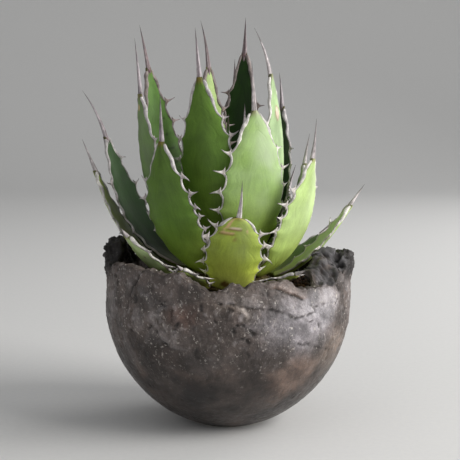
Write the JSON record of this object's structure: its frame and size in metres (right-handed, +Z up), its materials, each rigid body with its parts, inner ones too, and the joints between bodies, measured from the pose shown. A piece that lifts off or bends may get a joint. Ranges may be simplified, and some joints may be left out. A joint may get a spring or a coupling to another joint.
{
  "type": "potted agave",
  "caption": "Spiny agave rosette in a rough rounded clay bowl with a torn rim and drain holes; stands on a table or shelf as a living plant.",
  "frame": {"origin": "middle of the flat foot, on the surface that the pot stands on", "axes": "+Z up along the bowl's axis, -Y towards the front that the low front leaf and the lowest part of the torn rim face, +X to the right as seen from the front"},
  "size_m": [0.1507, 0.1311, 0.2152],
  "materials": {
    "fired_clay": "matt, gritty, unglazed, smoked dark grey-brown",
    "mesh_plastic": "matt black moulded mesh",
    "grit": "matt, pale, coarse grains",
    "potting_mix": "matt, dark, loose crumbs and fine grit",
    "stem": "dull, fibrous, pale where leaves join",
    "leaf_skin": "waxy satin green with a thin bloom, horny grey-white margins and spines with dark tips"
  },
  "bodies": {
    "root": {"bowl": "fired_clay", "drain_mesh": "mesh_plastic", "drainage_grit": "grit", "potting_mix": "potting_mix", "stem_and_roots": "stem", "leaf_low_front_left": "leaf_skin", "leaf_low_right_back": "leaf_skin", "leaf_low_left_back": "leaf_skin", "leaf_low_front_right": "leaf_skin", "leaf_low_back": "leaf_skin", "leaf_low_left_front": "leaf_skin", "leaf_low_right": "leaf_skin", "leaf_outer_left_back": "leaf_skin", "leaf_outer_front": "leaf_skin", "leaf_outer_right_back": "leaf_skin", "leaf_outer_left": "leaf_skin", "leaf_outer_right_front": "leaf_skin", "leaf_outer_back": "leaf_skin", "leaf_outer_left_front": "leaf_skin", "leaf_middle_right": "leaf_skin", "leaf_middle_left_back": "leaf_skin", "leaf_middle_front": "leaf_skin", "leaf_middle_right_back": "leaf_skin", "leaf_middle_left": "leaf_skin", "leaf_middle_right_high": "leaf_skin", "leaf_middle_back": "leaf_skin", "leaf_inner_left_front": "leaf_skin", "leaf_inner_right_front": "leaf_skin", "leaf_inner_left": "leaf_skin", "leaf_inner_left_back": "leaf_skin", "leaf_inner_front": "leaf_skin", "leaf_inner_right_back": "leaf_skin", "leaf_heart_back": "leaf_skin", "leaf_heart_front": "leaf_skin", "leaf_bud": "leaf_skin"}
  },
  "joints": []
}
